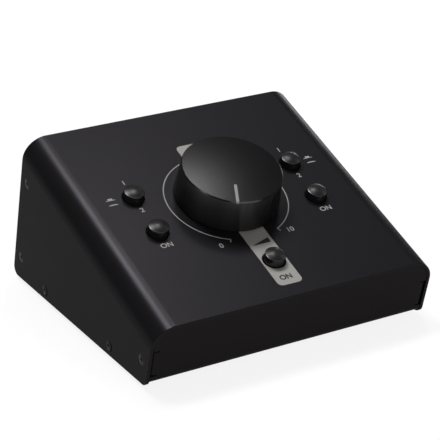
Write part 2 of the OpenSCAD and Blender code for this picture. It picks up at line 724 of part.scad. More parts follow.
// Flat cable on one smooth curve in the side view, square to both sockets
down_top = [sin(top_slope), -cos(top_slope)];
into_rear = [-lean_c, -lean_s];
cable_a = below_top(front_top, control_socket_v, -board_z0) + socket_size[2] * down_top;
cable_b = [floor_d, 0] + jack_socket_t * up_face
          + (socket_size[2] + board_t - jack_board_z1) * into_rear;
cable_pull = 12;
cable_w = 18;
cable_t = 0.9;
cable_steps = 16;
function curve(s) = pow(1 - s, 3) * cable_a + 3 * s * pow(1 - s, 2) * (cable_a + cable_pull * down_top)
    + 3 * s * s * (1 - s) * (cable_b + cable_pull * into_rear) + pow(s, 3) * cable_b;
function heading(s) = let (d = curve(min(s + 0.001, 1)) - curve(max(s - 0.001, 0))) d / norm(d);
function cable_edge(s, side) = curve(s) + side * cable_t / 2 * [-heading(s)[1], heading(s)[0]];
module ribbon_cable() color("#8b8f96") across(cable_w) polygon(concat(
    [for (i = [0:cable_steps]) cable_edge(i / cable_steps, 1)],
    [for (i = [cable_steps:-1:0]) cable_edge(i / cable_steps, -1)]));

top_cover();
chassis_tray();
side_screws();
rubber_feet();
volume_knob();
knob_pointer();
pot_shaft();
pot_rotors();
pot_tracks();
pot_body();
pot_bushing();
pot_washer();
pot_nut();
control_board();
board_standoffs();
board_screws();
for (b = BUTTONS) {
    button_cap(b);
    plunger(b);
    switch_body(b);
    spring(b);
}
jack_board();
for (j = JACKS) jack(j);
jack_washers();
jack_nuts();
ribbon_sockets();
ribbon_cable();
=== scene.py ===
from math import cos, pi, radians, sin, sqrt, tan
import bmesh
import bpy
from mathutils import Euler, Matrix, Vector


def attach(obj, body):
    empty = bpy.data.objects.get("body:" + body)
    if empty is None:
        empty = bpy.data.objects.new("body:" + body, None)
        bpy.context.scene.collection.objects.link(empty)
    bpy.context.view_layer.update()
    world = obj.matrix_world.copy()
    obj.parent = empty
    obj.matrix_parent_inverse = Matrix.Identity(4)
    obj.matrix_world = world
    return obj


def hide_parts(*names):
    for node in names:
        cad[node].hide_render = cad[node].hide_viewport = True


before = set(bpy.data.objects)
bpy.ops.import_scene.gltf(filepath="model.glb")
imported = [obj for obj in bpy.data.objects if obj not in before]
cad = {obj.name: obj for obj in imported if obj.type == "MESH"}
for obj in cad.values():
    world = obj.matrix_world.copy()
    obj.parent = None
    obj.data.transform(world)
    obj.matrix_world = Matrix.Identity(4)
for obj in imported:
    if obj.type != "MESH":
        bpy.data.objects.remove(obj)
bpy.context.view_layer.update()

# ---- Table and light --------------------------------------------------------------------
# A pale table top under soft studio lamps, seen by a long lens from the front left. The table
# shows white to the lens and in reflections, and keeps the soft shadow of the housing.


def linear(code):
    """The linear colour of an sRGB hex code, with full alpha."""
    parts = [int(code[i:i + 2], 16) / 255 for i in (1, 3, 5)]
    return [c / 12.92 if c <= 0.04045 else ((c + 0.055) / 1.055) ** 2.4 for c in parts] + [1]


def add(tree, kind, sockets=None, **settings):
    """One node, with its settings and with values or links on its sockets."""
    made = tree.nodes.new(kind)
    for name, value in settings.items():
        setattr(made, name, value)
    for name, value in (sockets or {}).items():
        if isinstance(value, bpy.types.NodeSocket):
            tree.links.new(value, made.inputs[name])
        else:
            made.inputs[name].default_value = value
    return made


def finish_named(name, code, **sockets):
    """A material of that common name and colour, with its node tree and its shader."""
    material = bpy.data.materials.new(name)
    material.use_nodes = True
    shader = material.node_tree.nodes["Principled BSDF"]
    shader.inputs["Base Color"].default_value = linear(code)
    for socket, value in sockets.items():
        shader.inputs[socket.replace("_", " ")].default_value = value
    return material, material.node_tree, shader


def object_of(name, mesh, material):
    """A mesh as an object of the scene, all in one material."""
    made = bpy.data.objects.new(name, mesh)
    bpy.context.scene.collection.objects.link(made)
    mesh.materials.clear()
    mesh.materials.append(material)
    return made


# the part of the table's look that is plain white; the rest takes light and shadow
white_share = 0.87
table_paint, tree, shader = finish_named("matt table laminate", "#dddddb", Roughness=0.9)
rays = add(tree, "ShaderNodeLightPath").outputs
seen = add(tree, "ShaderNodeMath", {0: rays["Is Camera Ray"], 1: rays["Is Glossy Ray"]},
           operation="MAXIMUM")
seen = add(tree, "ShaderNodeMath", {0: seen.outputs[0], 1: rays["Is Transmission Ray"]},
           operation="MAXIMUM")
white = add(tree, "ShaderNodeEmission", {"Color": (1, 1, 1, 1), "Strength": 1.0})
lit = add(tree, "ShaderNodeBsdfDiffuse", {"Color": (0.95, 0.95, 0.95, 1)})
bright = add(tree, "ShaderNodeMixShader", {0: white_share, 1: lit.outputs[0], 2: white.outputs[0]})
either = add(tree, "ShaderNodeMixShader", {0: seen.outputs[0], 1: shader.outputs[0],
                                           2: bright.outputs[0]})
tree.links.new(either.outputs[0], tree.nodes["Material Output"].inputs["Surface"])
reach = 4.0
mesh = bpy.data.meshes.new("table_top")
mesh.from_pydata([(-reach, -reach, 0), (reach, -reach, 0), (reach, reach, 0), (-reach, reach, 0)],
                 [], [(0, 1, 2, 3)])
object_of("table_top", mesh, table_paint)

world = bpy.data.worlds.new("dim studio")
bpy.context.scene.world = world
world.use_nodes = True
world.node_tree.nodes["Background"].inputs["Color"].default_value = (1, 1, 1, 1)
world.node_tree.nodes["Background"].inputs["Strength"].default_value = 0.13

# Each softbox: its height and bearing in degrees as the object sees it, its width and height
# in metres, and its watts. All hang at one distance and face one point inside the housing.
softboxes = {
    "behind_left": (74, 114, 0.28, 0.28, 7.8),
    "behind": (70, 90, 0.28, 0.28, 3.2),
    "behind_right": (70, 45, 0.28, 0.28, 2.7),
    "spot": (65, 47, 0.12, 0.12, 1.2),
    "right": (60, 42, 0.12, 0.12, 0.3),
    "right_rim": (10, 42, 0.35, 0.35, 3.0),
    "right_low": (45, 0, 0.28, 0.28, 0.7),
    "front_low": (27, 278, 1.2, 0.2, 2.1),
    "left_low": (35, 196, 0.28, 0.28, 1.1),
}
lamp_distance, lit_point = 1.2, Vector((0, 0, 0.04))
for name, (height, bearing, wide, tall, watts) in softboxes.items():
    lamp = bpy.data.lights.new(name, "AREA")
    lamp.shape, lamp.size, lamp.size_y, lamp.energy = "RECTANGLE", wide, tall, watts
    stand = bpy.data.objects.new(name, lamp)
    bpy.context.scene.collection.objects.link(stand)
    aim = Euler((0, radians(-height), radians(bearing))).to_matrix() @ Vector((1, 0, 0))
    stand.location = aim * lamp_distance + lit_point
    stand.rotation_euler = aim.to_track_quat("Z", "Y").to_euler()

lens = bpy.data.cameras.new("long lens")
lens.sensor_fit, lens.sensor_width, lens.lens = "HORIZONTAL", 36.0, 145.68
lens.shift_x, lens.shift_y, lens.clip_end = -0.0155, -0.0008, 20
camera = bpy.data.objects.new("long lens", lens)
bpy.context.scene.collection.objects.link(camera)
camera.location = (-0.39532, -0.68274, 0.37826)
camera.rotation_euler = (radians(66.9034), radians(0.0217), radians(-30.4379))
bpy.context.scene.camera = camera
bpy.context.scene.view_settings.view_transform = "Standard"

# ---- Cover ------------------------------------------------------------------------------
# One steel sheet folded into the sloping top and both side walls, powder coated in black. The
# coat's metal flake and its smoother bends were matched to the photograph's tones: they give
# the satin sheen, and the soft streak along each large bend.
mm = 0.001
slope = radians(20)
lean = radians(15)
front_edge = Vector((0, -74.6804, 32.9096)) * mm
top_place = Matrix.Translation(front_edge) @ Matrix.Rotation(slope, 4, "X")
# how far out from the middle the smoother band of a bend fades in, and out again
fade_in, fade_out = (62.5 * mm, 66 * mm), (74.3 * mm, 74.9 * mm)


def vary_shade(tree, shader, code, noise, low, high):
    """The colour of that code, darker and lighter with a noise, between two factors."""
    shade = add(tree, "ShaderNodeMapRange", {"Value": noise.outputs["Fac"],
                                             "To Min": low, "To Max": high})
    tint = add(tree, "ShaderNodeVectorMath", {0: linear(code)[:3], "Scale": shade.outputs[0]},
               operation="SCALE")
    tree.links.new(tint.outputs[0], shader.inputs["Base Color"])


def powder_coat(name, code, bend_gloss=0.0):
    """Powder coat in that colour, and smoother by bend_gloss over the large bends."""
    material, tree, shader = finish_named(
        name, code, Roughness=0.37, Metallic=0.5, Specular_IOR_Level=0.0,
        Specular_Tint=(0.62, 0.62, 0.62, 1))
    place = add(tree, "ShaderNodeTexCoord").outputs["Object"]
    # grit of about 0.35 mm, and slow change of gloss over some 30 mm
    grit = add(tree, "ShaderNodeTexNoise", {"Vector": place, "Scale": 2800.0, "Detail": 2.0})
    drift = add(tree, "ShaderNodeTexNoise", {"Vector": place, "Scale": 35.0, "Detail": 3.0})
    gloss = add(tree, "ShaderNodeMapRange", {"Value": drift.outputs["Fac"],
                                             "To Min": 0.34, "To Max": 0.40})
    # less roughness on the band over each bend
    across = add(tree, "ShaderNodeSeparateXYZ", {"Vector": place})
    side = add(tree, "ShaderNodeMath", {0: across.outputs["X"]}, operation="ABSOLUTE")
    onto = add(tree, "ShaderNodeMapRange", {
        "Value": side.outputs[0], "From Min": fade_in[0], "From Max": fade_in[1],
        "To Min": 0.0, "To Max": bend_gloss}, interpolation_type="SMOOTHSTEP")
    off = add(tree, "ShaderNodeMapRange", {
        "Value": side.outputs[0], "From Min": fade_out[0], "From Max": fade_out[1],
        "To Min": 1.0, "To Max": 0.0})
    bend = add(tree, "ShaderNodeMath", {0: onto.outputs[0], 1: off.outputs[0]},
               operation="MULTIPLY")
    gloss = add(tree, "ShaderNodeMath", {0: gloss.outputs[0], 1: bend.outputs[0]},
                operation="SUBTRACT")
    tree.links.new(gloss.outputs[0], shader.inputs["Roughness"])
    # the coat is drawn round the sheet's cut edges to about 0.3 mm
    edge = add(tree, "ShaderNodeBevel", {"Radius": 0.3 * mm}, samples=6)
    bump = add(tree, "ShaderNodeBump", {"Height": grit.outputs["Fac"], "Strength": 0.25,
                                        "Distance": 0.04 * mm, "Normal": edge.outputs["Normal"]})
    tree.links.new(bump.outputs[0], shader.inputs["Normal"])
    vary_shade(tree, shader, code, grit, 0.9, 1.1)
    return material


def dress(node, material):
    """A CAD node keeps its mesh and gets that material."""
    cad[node].data.materials.clear()
    cad[node].data.materials.append(material)


dress("top_cover", powder_coat("satin black metallic powder coat", "#222123", 0.055))

# ---- Printed legends --------------------------------------------------------------------
# Screen-printed ink on the cover: a grey stripe under the knob, the volume scale round it, plain
# numbers and words, and signs beside the two latching buttons. The ink is matt, 0.03 mm thick,
# and stands a little proud of the coat.
ink_t = 0.03 * mm
grey = "#918f8c"
ink, tree, shader = finish_named("grey screen ink", grey, Roughness=0.6, Specular_IOR_Level=0.1)
place = add(tree, "ShaderNodeTexCoord").outputs["Object"]
mottle = add(tree, "ShaderNodeTexNoise", {"Vector": place, "Scale": 1500.0, "Detail": 2.0})
vary_shade(tree, shader, grey, mottle, 0.92, 1.08)


def vary_gloss(tree, shader, low, high, scale, detail=2.0):
    """Roughness between two values, on a noise of that scale, which is given back."""
    place = add(tree, "ShaderNodeTexCoord").outputs["Object"]
    noise = add(tree, "ShaderNodeTexNoise", {"Vector": place, "Scale": scale, "Detail": detail})
    gloss = add(tree, "ShaderNodeMapRange", {"Value": noise.outputs["Fac"],
                                             "To Min": low, "To Max": high})
    tree.links.new(gloss.outputs[0], shader.inputs["Roughness"])
    return noise


dark_ink, tree, shader = finish_named("black screen ink", "#171615", Roughness=0.55,
                                      Specular_IOR_Level=0.3)
vary_gloss(tree, shader, 0.5, 0.62, 1500.0)


def arc(centre, radius, start, end, steps):
    """Points on an arc, in mm, with angles in degrees from +u towards +v."""
    turns = [radians(start + (end - start) * i / steps) for i in range(steps + 1)]
    return [(centre[0] + radius * cos(a), centre[1] + radius * sin(a)) for a in turns]


def slab(name, curve, lift, place, material):
    """A flat curve or text made a thin closed slab on the face that place describes."""
    curve.extrude = ink_t / 2
    draft = bpy.data.objects.new(name, curve)
    bpy.context.scene.collection.objects.link(draft)
    bpy.context.view_layer.update()
    finished = draft.evaluated_get(bpy.context.evaluated_depsgraph_get())
    mesh = bpy.data.meshes.new_from_object(finished)
    bpy.data.objects.remove(draft)
    mesh.transform(place @ Matrix.Translation((0, 0, lift)))
    work = bmesh.new()
    work.from_mesh(mesh)
    bmesh.ops.remove_doubles(work, verts=work.verts, dist=0.002 * mm)
    bmesh.ops.recalc_face_normals(work, faces=work.faces)
    work.to_mesh(mesh)
    work.free()
    return object_of(name, mesh, material)


def printed(name, outlines, lift=0.0, material=ink):
    """Ink inside outlines on the top, given in mm across and up the slope."""
    curve = bpy.data.curves.new(name, "CURVE")
    curve.dimensions, curve.fill_mode = "2D", "BOTH"
    for outline in outlines:
        line = curve.splines.new("POLY")
        line.points.add(len(outline) - 1)
        for point, (u, v) in zip(line.points, outline):
            point.co = (u * mm, v * mm, 0, 1)
        line.use_cyclic_u = True
    return slab(name, curve, lift, top_place, material)


# a capital's height as a share of the built-in font's size
capital = 0.69


def lettered(name, text, u, v, height, material=ink, lift=0.0, swell=0.06):
    """Plain characters centred at a place on the top; height is that of a capital, in mm."""
    curve = bpy.data.curves.new(name, "FONT")
    curve.body, curve.size = text, height * mm / capital
    curve.align_x, curve.align_y = "CENTER", "CENTER"
    curve.offset = swell * mm
    spot = top_place @ Matrix.Translation((u * mm, v * mm, 0))
    return slab(name, curve, lift, spot, material)


# the stripe leaves a round place bare for the mono cap, and one for the nut under the knob
stripe_half, stripe_v0, stripe_v1, stripe_r = 6.5, 7.3, 110.5, 2.5
knob_v, mono_v, knob_bare_r, mono_bare_r = 70.0, 23.6, 6.9, 5.8
corners = [(stripe_half - stripe_r, stripe_v0 + stripe_r),
           (stripe_half - stripe_r, stripe_v1 - stripe_r),
           (stripe_r - stripe_half, stripe_v1 - stripe_r),
           (stripe_r - stripe_half, stripe_v0 + stripe_r)]
stripe = sum([arc(c, stripe_r, -90 + 90 * i, 90 * i, 6) for i, c in enumerate(corners)], [])
legends = [printed("stripe_print", [stripe, arc((0, mono_v), mono_bare_r, 0, 360, 48)[:-1],
                                    arc((0, knob_v), knob_bare_r, 0, 360, 48)[:-1]])]
# the scale starts and ends 25 degrees from the front, with a short tick outwards at each end
scale_v, scale_r, scale_w, open_half, tick_len = 69.8, 30.15, 0.5, 25, 1.9
# prints that cross lie a few thousandths apart, so that no two faces share a plane
scale_lift, tick_lift = 0.004 * mm, 0.008 * mm
half = scale_w / 2
outer = arc((0, scale_v), scale_r + half, -90 + open_half, 270 - open_half, 180)
inner = arc((0, scale_v), scale_r - half, 270 - open_half, -90 + open_half, 180)
legends.append(printed("scale_print", [outer + inner], scale_lift))
for name, side in (("scale_start_tick", -1), ("scale_end_tick", 1)):
    a = radians(-90 + side * open_half)
    out, along = Vector((cos(a), sin(a))), Vector((-sin(a), cos(a))) * side
    foot = Vector((0, scale_v)) + out * scale_r
    tick = [foot - out * half - along * half, foot + out * tick_len - along * half,
            foot + out * tick_len + along * half, foot - out * half + along * half]
    legends.append(printed(name, [[tuple(p) for p in tick]], tick_lift))
letter_h = 2.8
for name, text, u, v in (("scale_zero", "0", -19.0, 39.8), ("scale_ten", "10", 18.4, 40.0),
                         ("input_one", "1", -42.9, 93.6), ("input_two", "2", -43.1, 73.4),
                         ("monitor_one", "1", 43.2, 93.6), ("monitor_two", "2", 43.2, 73.4),
                         ("dim_on", "ON", -43.2, 48.1), ("mute_on", "ON", 43.2, 47.9)):
    legends.append(lettered(name, text, u, v, letter_h))
legends.append(lettered("mono_on", "ON", -0.4, 11.9, letter_h, dark_ink, ink_t, 0.16))
# a rising wedge stands for the volume
wedge = [(-5, 35.2), (5, 35.2), (5, 38.4)]
legends.append(printed("volume_wedge", [wedge], ink_t, dark_ink))
# latch signs beside the two selectors: a raised cap over a line, and a sunken one
sign_near, sign_far, sign_drop, line_t = 52.1, 56.9, 0.9, 0.4
for name, side in (("input", -1), ("monitor", 1)):
    for state, v, wide, rise in (("out", 84.7, 2.4, 1.1), ("in", 81.3, 2.8, 0.3)):
        u0, u1 = sorted((side * sign_near, side * sign_far))
        mid, base = (u0 + u1) / 2, v - sign_drop
        legends.append(printed(f"{name}_{state}_sign", [[
            (u0, base), (u1, base), (u1, base + line_t), (mid + wide / 2, base + line_t),
            (mid + wide / 2, base + line_t + rise), (mid - wide / 2, base + line_t + rise),
            (mid - wide / 2, base + line_t), (u0, base + line_t)]]))
for legend in legends:
    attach(legend, "housing")

# ---- Tray -------------------------------------------------------------------------------
# The second folded sheet: front face, floor and rear face, with flanges turned in beside the side
# walls. Its powder coat is the cover's, coloured a little darker as painted shade for where it
# lies in the cover's shade, and alike in gloss over the whole sheet.
dress("chassis_tray", powder_coat("black metallic powder coat", "#211f20"))

# ---- Side screws ------------------------------------------------------------------------
# Ten M3 countersunk screws in black steel, flush with the walls, each with a cross recess. They
# are one screw, made once and set into every countersink.


def smooth(mesh, angle=35):
    """Smooth shading, with edges sharper than the angle kept crisp."""
    work = bmesh.new()
    work.from_mesh(mesh)
    for face in work.faces:
        face.smooth = True
    for edge in work.edges:
        edge.smooth = len(edge.link_faces) == 2 and edge.calc_face_angle(0) < radians(angle)
    work.to_mesh(mesh)
    work.free()
    return mesh


def turned(name, rings, sides, material, place=None):
    """A closed turned piece. A ring is (radius, height) in mm, or a function of the angle."""
    work = bmesh.new()
    loops = []
    for ring in rings:
        loop = []
        for i in range(sides):
            a = 2 * pi * i / sides
            r, z = ring(a) if callable(ring) else ring
            loop.append(work.verts.new((r * cos(a) * mm, r * sin(a) * mm, z * mm)))
        loops.append(loop)
    for low, high in zip(loops, loops[1:] + loops[:1]):
        for i in range(sides):
            k = (i + 1) % sides
            work.faces.new((low[i], low[k], high[k], high[i]))
    bmesh.ops.remove_doubles(work, verts=work.verts, dist=0.0005 * mm)
    bmesh.ops.dissolve_degenerate(work, edges=work.edges, dist=0.0002 * mm)
    bmesh.ops.recalc_face_normals(work, faces=work.faces)
    mesh = bpy.data.meshes.new(name)
    work.to_mesh(mesh)
    work.free()
    if place:
        mesh.transform(place)
    return object_of(name, smooth(mesh), material)


def copies_tree():
    """Nodes that set a piece at each point, turned as the point says, and make it one mesh."""
    tree = bpy.data.node_groups.new("set_at_places", "GeometryNodeTree")
    face = tree.interface
    face.new_socket("Places", in_out="INPUT", socket_type="NodeSocketGeometry")
    face.new_socket("Piece", in_out="INPUT", socket_type="NodeSocketObject")
    face.new_socket("Size", in_out="INPUT", socket_type="NodeSocketFloat")
    face.new_socket("Finish", in_out="INPUT", socket_type="NodeSocketMaterial")
    face.new_socket("Pieces", in_out="OUTPUT", socket_type="NodeSocketGeometry")
    given = add(tree, "NodeGroupInput").outputs
    piece = add(tree, "GeometryNodeObjectInfo", {"Object": given["Piece"]})
    turn = add(tree, "GeometryNodeInputNamedAttribute", {"Name": "turn"}, data_type="FLOAT_VECTOR")
    turn = add(tree, "FunctionNodeEulerToRotation", {0: turn.outputs["Attribute"]})
    set_out = add(tree, "GeometryNodeInstanceOnPoints", {
        "Points": given["Places"], "Instance": piece.outputs["Geometry"],
        "Rotation": turn.outputs[0], "Scale": given["Size"]})
    real = add(tree, "GeometryNodeRealizeInstances", {"Geometry": set_out.outputs[0]})
    painted = add(tree, "GeometryNodeSetMaterial", {"Geometry": real.outputs[0],
                                                    "Material": given["Finish"]})
    add(tree, "NodeGroupOutput", {0: painted.outputs[0]})
    return tree


set_at_places = copies_tree()


def repeated(name, piece, places, body, *nodes):
    """Copies of a piece at places, each a matrix, as one mesh on a body in place of nodes."""
    material = piece.data.materials[0]
    points = bpy.data.meshes.new(name)
    points.from_pydata([p.translation for p in places], [], [])
    turns = points.attributes.new("turn", "FLOAT_VECTOR", "POINT")
    turns.data.foreach_set("vector", [x for p in places for x in p.to_euler()])
    draft = bpy.data.objects.new(name + "_places", points)
    bpy.context.scene.collection.objects.link(draft)
    modifier = draft.modifiers.new("copies", "NODES")
    modifier.node_group = set_at_places
    values = {"Piece": piece, "Size": 1.0, "Finish": material}
    for socket in set_at_places.interface.items_tree:
        if socket.in_out == "INPUT" and socket.name in values:
            modifier[socket.identifier] = values[socket.name]
    bpy.context.view_layer.update()
    finished = draft.evaluated_get(bpy.context.evaluated_depsgraph_get())
    mesh = bpy.data.meshes.new_from_object(finished)
    bpy.data.objects.remove(draft)
    bpy.data.objects.remove(piece)
    made = object_of(name, mesh, material)
    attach(made, body)
    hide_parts(*nodes)
    return made


black_steel, tree, shader = finish_named("blackened steel", "#242322", Metallic=1.0,
                                         Roughness=0.34, Specular_Tint=(0.66, 0.66, 0.66, 1))
vary_gloss(tree, shader, 0.25, 0.4, 1800.0, 3.0)

screw_r, head_r, screw_len, screw_tip = 1.5, 2.75, 6.0, 0.3
head_depth = head_r - screw_r
# the cross recess narrows from its length at the head to a share of it at the bottom
recess_w, recess_len, recess_depth, recess_foot = 0.62, 2.9, 1.1, 0.45


def cross_screw(name, rings):
    """A turned screw with a tapered cross recess sunk into its head, at height 0."""
    screw = turned(name, rings, 48, black_steel)
    cutter = bpy.data.meshes.new(name + "_recess")
    work = bmesh.new()
    for turn in (radians(45), radians(135)):
        bar = bmesh.ops.create_cube(work, size=1)["verts"]
        for v in bar:
            length = recess_len if v.co.z > 0 else recess_len * recess_foot
            v.co = Vector((v.co.x * length, v.co.y * recess_w, v.co.z * recess_depth * 2)) * mm
        bmesh.ops.rotate(work, verts=bar, matrix=Matrix.Rotation(turn, 3, "Z"))
    work.to_mesh(cutter)
    work.free()
    tool = object_of(name + "_recess", cutter, black_steel)
    cut = screw.modifiers.new("recess", "BOOLEAN")
    cut.operation, cut.object, cut.solver, cut.use_self = "DIFFERENCE", tool, "EXACT", True
    bpy.context.view_layer.update()
    finished = screw.evaluated_get(bpy.context.evaluated_depsgraph_get())
    mesh = bpy.data.meshes.new_from_object(finished)
    bpy.data.objects.remove(screw)
    bpy.data.objects.remove(tool)
    return object_of(name, smooth(mesh), black_steel)


wall_x = 75
up_face = Vector((0, -sin(lean), cos(lean)))
into_face = Vector((0, cos(lean), sin(lean)))
front_foot, rear_foot = Vector((0, -66.3982, 2)), Vector((0, 74.8949, 2))
# in mm: up the front or rear face and in from it, and two that hold the floor's flanges
screw_places = [front_foot + 11 * up_face + 6.4 * into_face,
                Vector((0, -30.3017, 6.9)), Vector((0, 38.1983, 6.9)),
                rear_foot + 14.5 * up_face - 7 * into_face,
                rear_foot + 59.2 * up_face - 7 * into_face]
# no two recesses in a wall point the same way, in radians
turns = [0.3, 1.1, 0.7, 0.2, 1.4]
places = [Matrix.Translation((side * wall_x * mm, p.y * mm, p.z * mm))
          @ Matrix.Rotation(side * pi / 2, 4, "Y") @ Matrix.Rotation(turn + side, 4, "Z")
          for side in (-1, 1) for p, turn in zip(screw_places, turns)]
screw = cross_screw("side_screw", [
    (0, -0.02), (head_r - 0.12, -0.02), (head_r - 0.02, -0.08), (head_r - 0.02, -0.2),
    (screw_r, -head_depth), (screw_r, -screw_len + screw_tip),
    (screw_r - screw_tip, -screw_len), (0, -screw_len)])
repeated("countersunk_screws", screw, places, "housing", "side_screws")

# ---- Volume knob ------------------------------------------------------------------------
# A large moulded knob in black plastic: a shallow dome with a fine grain, a polished bevel, and
# a tapered side. Inside it is a shell with a hub on the shaft. The hub's hole is drawn round,
# because the shaft's flat never shows.
knob_place = top_place @ Matrix.Translation((0, knob_v * mm, 0))
base_r, top_r, knob_z0, knob_h, bevel, dome = 25.5, 24.3, 0.5, 17.0, 0.5, 0.6
wall, foot_break, hub_r, hub_z0, shaft_hole_r, shaft_hole_z1 = 2.6, 0.15, 5.6, 6.9, 3.05, 15.05
knob_z1 = knob_z0 + knob_h
rim_r = top_r - bevel
dome_r = (rim_r ** 2 + dome ** 2) / (2 * dome)


def dome_height(r):
    """Height of the knob's dome at that radius."""
    return knob_z1 + dome - dome_r + sqrt(dome_r ** 2 - r ** 2)


def moulded(name, code, gloss_low, gloss_high, grain, depth, level=0.5, **sockets):
    """Moulded plastic with a grain of that size and depth in mm."""
    material, tree, shader = finish_named(name, code, Roughness=(gloss_low + gloss_high) / 2,
                                          Specular_IOR_Level=level, **sockets)
    noise = vary_gloss(tree, shader, gloss_low, gloss_high, 1000 / grain)
    bump = add(tree, "ShaderNodeBump", {"Height": noise.outputs["Fac"], "Strength": 0.3,
                                        "Distance": depth * mm})
    tree.links.new(bump.outputs[0], shader.inputs["Normal"])
    return material


knob_plastic = moulded("grained black ABS", "#070607", 0.2, 0.25, 0.4, 0.02, 0.16)
edge_plastic = moulded("polished black ABS", "#050505", 0.16, 0.22, 0.8, 0.002, 0.4)
# The side's flake and fine turned rings are a guess that fits the photograph's tones: its
# highlights run along the axis.
side_plastic = moulded("turned flake-filled black ABS", "#565656", 0.26, 0.32, 0.8, 0.004, 0.0,
                       Metallic=0.95, Specular_Tint=(0.1, 0.1, 0.1, 1), Anisotropic=0.85)
tree = side_plastic.node_tree
axis = add(tree, "ShaderNodeCombineXYZ", {"Y": -sin(slope), "Z": cos(slope)})
tree.links.new(axis.outputs[0], tree.nodes["Principled BSDF"].inputs["Tangent"])
dome_rings = [(rim_r * i / 10, dome_height(rim_r * i / 10)) for i in range(11)]
knob = turned("volume_knob_shell", dome_rings + [
    (top_r, knob_z1 - bevel), (base_r, knob_z0 + bevel),
    (base_r - foot_break, knob_z0 + foot_break), (base_r - bevel, knob_z0),
    (base_r - wall, knob_z0), (top_r - wall, knob_z1 - wall),
    (hub_r, knob_z1 - wall), (hub_r, hub_z0), (shaft_hole_r, hub_z0),
    (shaft_hole_r, shaft_hole_z1), (0, shaft_hole_z1)], 192, knob_plastic, knob_place)
# the dome keeps the first finish, the bevel takes the second, and all below it the third
knob.data.materials.append(edge_plastic)
knob.data.materials.append(side_plastic)
for face in knob.data.polygons:
    z = (knob_place.inverted() @ face.center).z
    face.material_index = int(z < knob_z1 * mm) + int(z < (knob_z1 - bevel) * mm)
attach(knob, "knob")
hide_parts("volume_knob")

# ---- Knob pointer -----------------------------------------------------------------------
# A groove filled with white paint, from halfway out on the dome to just over the rim, with a round
# inner end. Its grey colour is painted shade, standing for the shade on the knob's top. It rests
# 23 degrees to the left of the front, near the scale's start.
pale_fill, tree, shader = finish_named("white filling paint greyed as painted shade", "#838280", Roughness=0.5,
                                       Specular_IOR_Level=0.2)
vary_gloss(tree, shader, 0.42, 0.58, 1200.0)
pointer_angle, line_half, line_in, line_depth, proud = 23, 0.7, 12.0, 0.9, 0.05
inner_turns = [pi / 2 * i / 6 for i in range(1, 7)]
stations = [(line_in + line_half * (1 - cos(a)), line_half * sin(a)) for a in inner_turns]
stations += [(line_in + line_half + (rim_r - line_in - line_half) * i / 8, line_half)
             for i in range(1, 9)]
# past the rim the paint falls with the bevel, and ends a little proud of it
rim_room = 0.02
stations += [(r, line_half) for r in (rim_r + 0.2, top_r, top_r + 0.06)]
low = knob_z1 - line_depth
work = bmesh.new()
rows = []
for r, half in stations:
    high = dome_height(min(r, rim_r)) + proud - max(0, r - rim_r - rim_room)
    rows.append([work.verts.new((r * mm, half * s * mm, z * mm))
                 for s, z in ((-1, low), (1, low), (1, high), (-1, high))])
for near, far in zip(rows, rows[1:]):
    for i in range(4):
        k = (i + 1) % 4
        work.faces.new((near[i], near[k], far[k], far[i]))
work.faces.new(rows[0])
work.faces.new(rows[-1])
bmesh.ops.recalc_face_normals(work, faces=work.faces)
mesh = bpy.data.meshes.new("pointer_line")
work.to_mesh(mesh)
work.free()
mesh.transform(knob_place @ Matrix.Rotation(radians(-90 - pointer_angle), 4, "Z"))
pointer = object_of("pointer_line", mesh, pale_fill)
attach(pointer, "knob")
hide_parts("knob_pointer")

# ---- Potentiometer ----------------------------------------------------------------------
# The volume control under the knob: a plated steel can with two resistance tracks inside, a
# threaded brass bushing through the cover with washer and nut, and an aluminium shaft.


def metal(name, code, low, high, scale):
    """A bare or plated metal whose gloss varies at that scale."""
    material, tree, shader = finish_named(name, code, Metallic=1.0, Roughness=(low + high) / 2)
    vary_gloss(tree, shader, low, high, scale, 3.0)
    return material


nickel = metal("nickel plate", "#b9b8b4", 0.22, 0.36, 900.0)
dress("pot_body", metal("zinc-plated steel", "#9a9c9c", 0.35, 0.5, 700.0))
dress("pot_bushing", metal("turned brass", "#b08d4c", 0.25, 0.4, 1200.0))
dress("pot_shaft", metal("turned aluminium", "#b9b9b4", 0.25, 0.4, 1200.0))
dress("pot_tracks", moulded("phenolic board", "#3a2d22", 0.5, 0.65, 0.8, 0.01))
dress("pot_rotors", moulded("white acetal", "#d8d4c8", 0.4, 0.5, 0.6, 0.01))
dress("pot_washer", nickel)
dress("pot_nut", nickel)

# ---- Push-button caps -------------------------------------------------------------------
# Five round caps moulded in satin black plastic, with a crisp edge and a domed top. Each is
# a shell pressed on the plunger of its switch, and slides in its own hole in the cover.
cap_plastic = moulded("satin black ABS", "#1c1c1d", 0.25, 0.31, 0.5, 0.006, 0.13)
# flake in the side too, matched to the photograph's tones
cap_side_plastic = moulded("smooth black ABS with flake", "#474747", 0.15, 0.21, 0.5, 0.002, 0.0,
                           Metallic=0.85, Specular_Tint=(0.3, 0.3, 0.3, 1))
cap_r, cap_top, cap_h, cap_edge, cap_dome = 5.25, 4.95, 3.9, 0.35, 0.75
cap_foot, cap_wall, cap_hollow_z1 = -2.6, 1.2, 2.4
cap_rim = cap_top - cap_edge
cap_dome_r = (cap_rim ** 2 + cap_dome ** 2) / (2 * cap_dome)
cap_rings = [(cap_rim * i / 8,
              cap_h + cap_dome - cap_dome_r + sqrt(cap_dome_r ** 2 - (cap_rim * i / 8) ** 2))
             for i in range(9)]
edge_turns = [pi / 2 * i / 8 for i in range(1, 9)]
cap_rings += [(cap_rim + cap_edge * sin(a), cap_h - cap_edge + cap_edge * cos(a))
              for a in edge_turns]
cap_rings += [(cap_r, 0), (cap_r, cap_foot), (cap_r - cap_wall, cap_foot),
              (cap_r - cap_wall, cap_hollow_z1), (0, cap_hollow_z1)]
plunger_plastic = moulded("cream acetal", "#e9e6dc", 0.4, 0.5, 0.6, 0.01)
switch_plastic = moulded("grey nylon", "#3c3f45", 0.45, 0.6, 0.6, 0.01)
